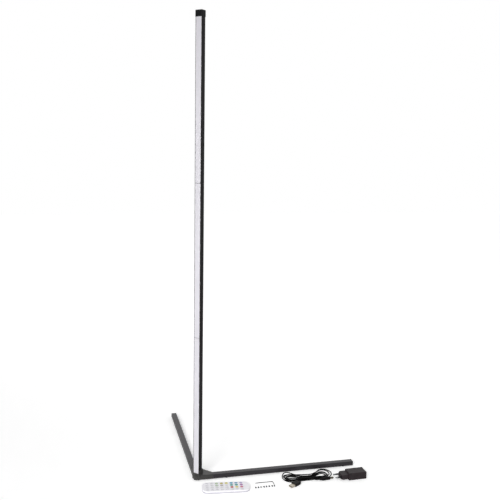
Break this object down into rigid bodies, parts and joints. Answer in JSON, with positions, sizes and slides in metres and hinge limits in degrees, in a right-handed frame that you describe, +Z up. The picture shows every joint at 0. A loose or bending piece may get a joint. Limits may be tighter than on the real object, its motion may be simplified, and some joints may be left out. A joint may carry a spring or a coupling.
{
  "type": "corner floor lamp",
  "caption": "Slim corner floor lamp: a light pole on a right-angled two-arm foot, with a loose remote, wound lead, adapter and fitting tools.",
  "frame": {"origin": "on the floor under the pole's axis, at the middle of the corner's foot pad", "axes": "+Z up the pole, +X along the right foot arm, +Y along the left foot arm; the diffuser faces -X -Y"},
  "size_m": [0.4634, 0.5458, 1.2],
  "materials": {
    "bracket_metal": "satin black powder coat",
    "arm_metal": "satin black powder coat",
    "pole_metal": "matt black anodised look",
    "black_plastic": "matt black moulding",
    "pad_rubber": "matt",
    "opal": "opal diffuser",
    "strip": "flexible printed strip with lamp packages",
    "steel": "zinc plated",
    "screw_black": "blackened steel",
    "tool_steel": "blackened tool steel",
    "board": "printed circuit board",
    "remote_shell": "satin white moulding",
    "mat": "silicone sheet",
    "tray": "satin white moulding with a steel cell",
    "adapter_black": "fine matt texture",
    "pin_metal": "nickel plated",
    "wire": "smooth black cable sheath",
    "usb": "metal shell with a black grip",
    "barrel": "black grip with a metal tip",
    "key_white": "satin",
    "key_pale_green": "satin",
    "key_olive": "satin",
    "key_yellow": "satin",
    "key_cyan": "satin",
    "key_blue_grey": "satin",
    "key_lilac": "satin",
    "key_grey_green": "satin",
    "key_grey": "satin",
    "key_teal": "satin",
    "key_purple": "satin",
    "key_red": "satin",
    "key_rose": "satin"
  },
  "bodies": {
    "lamp": {"corner_bracket": "bracket_metal", "right_arm": "arm_metal", "left_arm": "arm_metal", "arm_end_caps": "black_plastic", "foot_pads": "pad_rubber", "light_strips": "strip", "section_joiners": "steel", "top_cap": "black_plastic", "grub_screws": "screw_black", "power_inlet": "black_plastic", "receiver_board": "board", "pole_lower": "pole_metal", "pole_middle": "pole_metal", "pole_upper": "pole_metal", "diffusers": "opal", "spare_screws": "screw_black"},
    "remote": {"remote_base": "remote_shell", "remote_cover": "remote_shell", "remote_key_mat": "mat", "remote_board": "board"},
    "tray": {"battery_tray": "tray"},
    "adapter": {"adapter_case": "adapter_black", "adapter_pins": "pin_metal", "adapter_board": "board"},
    "lead": {"lead_hank": "wire", "usb_plug": "usb", "barrel_plug": "barrel"},
    "hex_key_tool": {"hex_key": "tool_steel"},
    "key_1a_press": {"key_1a": "key_white"},
    "key_1b_press": {"key_1b": "key_white"},
    "key_1c_press": {"key_1c": "key_white"},
    "key_1d_press": {"key_1d": "key_white"},
    "key_2a_press": {"key_2a": "key_white"},
    "key_2b_press": {"key_2b": "key_white"},
    "key_2c_press": {"key_2c": "key_white"},
    "key_2d_press": {"key_2d": "key_white"},
    "key_3a_press": {"key_3a": "key_white"},
    "key_3b_press": {"key_3b": "key_white"},
    "key_3c_press": {"key_3c": "key_grey_green"},
    "key_3d_press": {"key_3d": "key_pale_green"},
    "key_4a_press": {"key_4a": "key_white"},
    "key_4b_press": {"key_4b": "key_white"},
    "key_4c_press": {"key_4c": "key_grey"},
    "key_4d_press": {"key_4d": "key_olive"},
    "key_5a_press": {"key_5a": "key_white"},
    "key_5b_press": {"key_5b": "key_white"},
    "key_5c_press": {"key_5c": "key_white"},
    "key_5d_press": {"key_5d": "key_yellow"},
    "key_6a_press": {"key_6a": "key_white"},
    "key_6b_press": {"key_6b": "key_red"},
    "key_6c_press": {"key_6c": "key_teal"},
    "key_6d_press": {"key_6d": "key_cyan"},
    "key_7a_press": {"key_7a": "key_white"},
    "key_7b_press": {"key_7b": "key_yellow"},
    "key_7c_press": {"key_7c": "key_teal"},
    "key_7d_press": {"key_7d": "key_blue_grey"},
    "key_8a_press": {"key_8a": "key_white"},
    "key_8b_press": {"key_8b": "key_rose"},
    "key_8c_press": {"key_8c": "key_purple"},
    "key_8d_press": {"key_8d": "key_lilac"}
  },
  "joints": [
    {"name": "remote_lift", "type": "slide", "parent": "lamp", "child": "remote", "axis": [0, 0, 1], "range_m": [0, 0.06]},
    {"name": "adapter_lift", "type": "slide", "parent": "lamp", "child": "adapter", "axis": [0, 0, 1], "range_m": [0, 0.06]},
    {"name": "lead_lift", "type": "slide", "parent": "lamp", "child": "lead", "axis": [0, 0, 1], "range_m": [0, 0.06]},
    {"name": "hex_key_lift", "type": "slide", "parent": "lamp", "child": "hex_key_tool", "axis": [0, 0, 1], "range_m": [0, 0.06]},
    {"name": "battery_tray_pull", "type": "slide", "parent": "remote", "child": "tray", "axis": [0.9932, -0.1167, 0], "range_m": [0, 0.012]},
    {"name": "key_1a_press", "type": "slide", "parent": "remote", "child": "key_1a_press", "axis": [0, 0, -1], "range_m": [0, 0.00045], "stiffness_N_per_m": 800, "springref_m": -0.0001},
    {"name": "key_1b_press", "type": "slide", "parent": "remote", "child": "key_1b_press", "axis": [0, 0, -1], "range_m": [0, 0.00045], "stiffness_N_per_m": 800, "springref_m": -0.0001},
    {"name": "key_1c_press", "type": "slide", "parent": "remote", "child": "key_1c_press", "axis": [0, 0, -1], "range_m": [0, 0.00045], "stiffness_N_per_m": 800, "springref_m": -0.0001},
    {"name": "key_1d_press", "type": "slide", "parent": "remote", "child": "key_1d_press", "axis": [0, 0, -1], "range_m": [0, 0.00045], "stiffness_N_per_m": 800, "springref_m": -0.0001},
    {"name": "key_2a_press", "type": "slide", "parent": "remote", "child": "key_2a_press", "axis": [0, 0, -1], "range_m": [0, 0.00045], "stiffness_N_per_m": 800, "springref_m": -0.0001},
    {"name": "key_2b_press", "type": "slide", "parent": "remote", "child": "key_2b_press", "axis": [0, 0, -1], "range_m": [0, 0.00045], "stiffness_N_per_m": 800, "springref_m": -0.0001},
    {"name": "key_2c_press", "type": "slide", "parent": "remote", "child": "key_2c_press", "axis": [0, 0, -1], "range_m": [0, 0.00045], "stiffness_N_per_m": 800, "springref_m": -0.0001},
    {"name": "key_2d_press", "type": "slide", "parent": "remote", "child": "key_2d_press", "axis": [0, 0, -1], "range_m": [0, 0.00045], "stiffness_N_per_m": 800, "springref_m": -0.0001},
    {"name": "key_3a_press", "type": "slide", "parent": "remote", "child": "key_3a_press", "axis": [0, 0, -1], "range_m": [0, 0.00045], "stiffness_N_per_m": 800, "springref_m": -0.0001},
    {"name": "key_3b_press", "type": "slide", "parent": "remote", "child": "key_3b_press", "axis": [0, 0, -1], "range_m": [0, 0.00045], "stiffness_N_per_m": 800, "springref_m": -0.0001},
    {"name": "key_3c_press", "type": "slide", "parent": "remote", "child": "key_3c_press", "axis": [0, 0, -1], "range_m": [0, 0.00045], "stiffness_N_per_m": 800, "springref_m": -0.0001},
    {"name": "key_3d_press", "type": "slide", "parent": "remote", "child": "key_3d_press", "axis": [0, 0, -1], "range_m": [0, 0.00045], "stiffness_N_per_m": 800, "springref_m": -0.0001},
    {"name": "key_4a_press", "type": "slide", "parent": "remote", "child": "key_4a_press", "axis": [0, 0, -1], "range_m": [0, 0.00045], "stiffness_N_per_m": 800, "springref_m": -0.0001},
    {"name": "key_4b_press", "type": "slide", "parent": "remote", "child": "key_4b_press", "axis": [0, 0, -1], "range_m": [0, 0.00045], "stiffness_N_per_m": 800, "springref_m": -0.0001},
    {"name": "key_4c_press", "type": "slide", "parent": "remote", "child": "key_4c_press", "axis": [0, 0, -1], "range_m": [0, 0.00045], "stiffness_N_per_m": 800, "springref_m": -0.0001},
    {"name": "key_4d_press", "type": "slide", "parent": "remote", "child": "key_4d_press", "axis": [0, 0, -1], "range_m": [0, 0.00045], "stiffness_N_per_m": 800, "springref_m": -0.0001},
    {"name": "key_5a_press", "type": "slide", "parent": "remote", "child": "key_5a_press", "axis": [0, 0, -1], "range_m": [0, 0.00045], "stiffness_N_per_m": 800, "springref_m": -0.0001},
    {"name": "key_5b_press", "type": "slide", "parent": "remote", "child": "key_5b_press", "axis": [0, 0, -1], "range_m": [0, 0.00045], "stiffness_N_per_m": 800, "springref_m": -0.0001},
    {"name": "key_5c_press", "type": "slide", "parent": "remote", "child": "key_5c_press", "axis": [0, 0, -1], "range_m": [0, 0.00045], "stiffness_N_per_m": 800, "springref_m": -0.0001},
    {"name": "key_5d_press", "type": "slide", "parent": "remote", "child": "key_5d_press", "axis": [0, 0, -1], "range_m": [0, 0.00045], "stiffness_N_per_m": 800, "springref_m": -0.0001},
    {"name": "key_6a_press", "type": "slide", "parent": "remote", "child": "key_6a_press", "axis": [0, 0, -1], "range_m": [0, 0.00045], "stiffness_N_per_m": 800, "springref_m": -0.0001},
    {"name": "key_6b_press", "type": "slide", "parent": "remote", "child": "key_6b_press", "axis": [0, 0, -1], "range_m": [0, 0.00045], "stiffness_N_per_m": 800, "springref_m": -0.0001},
    {"name": "key_6c_press", "type": "slide", "parent": "remote", "child": "key_6c_press", "axis": [0, 0, -1], "range_m": [0, 0.00045], "stiffness_N_per_m": 800, "springref_m": -0.0001},
    {"name": "key_6d_press", "type": "slide", "parent": "remote", "child": "key_6d_press", "axis": [0, 0, -1], "range_m": [0, 0.00045], "stiffness_N_per_m": 800, "springref_m": -0.0001},
    {"name": "key_7a_press", "type": "slide", "parent": "remote", "child": "key_7a_press", "axis": [0, 0, -1], "range_m": [0, 0.00045], "stiffness_N_per_m": 800, "springref_m": -0.0001},
    {"name": "key_7b_press", "type": "slide", "parent": "remote", "child": "key_7b_press", "axis": [0, 0, -1], "range_m": [0, 0.00045], "stiffness_N_per_m": 800, "springref_m": -0.0001},
    {"name": "key_7c_press", "type": "slide", "parent": "remote", "child": "key_7c_press", "axis": [0, 0, -1], "range_m": [0, 0.00045], "stiffness_N_per_m": 800, "springref_m": -0.0001},
    {"name": "key_7d_press", "type": "slide", "parent": "remote", "child": "key_7d_press", "axis": [0, 0, -1], "range_m": [0, 0.00045], "stiffness_N_per_m": 800, "springref_m": -0.0001},
    {"name": "key_8a_press", "type": "slide", "parent": "remote", "child": "key_8a_press", "axis": [0, 0, -1], "range_m": [0, 0.00045], "stiffness_N_per_m": 800, "springref_m": -0.0001},
    {"name": "key_8b_press", "type": "slide", "parent": "remote", "child": "key_8b_press", "axis": [0, 0, -1], "range_m": [0, 0.00045], "stiffness_N_per_m": 800, "springref_m": -0.0001},
    {"name": "key_8c_press", "type": "slide", "parent": "remote", "child": "key_8c_press", "axis": [0, 0, -1], "range_m": [0, 0.00045], "stiffness_N_per_m": 800, "springref_m": -0.0001},
    {"name": "key_8d_press", "type": "slide", "parent": "remote", "child": "key_8d_press", "axis": [0, 0, -1], "range_m": [0, 0.00045], "stiffness_N_per_m": 800, "springref_m": -0.0001}
  ]
}
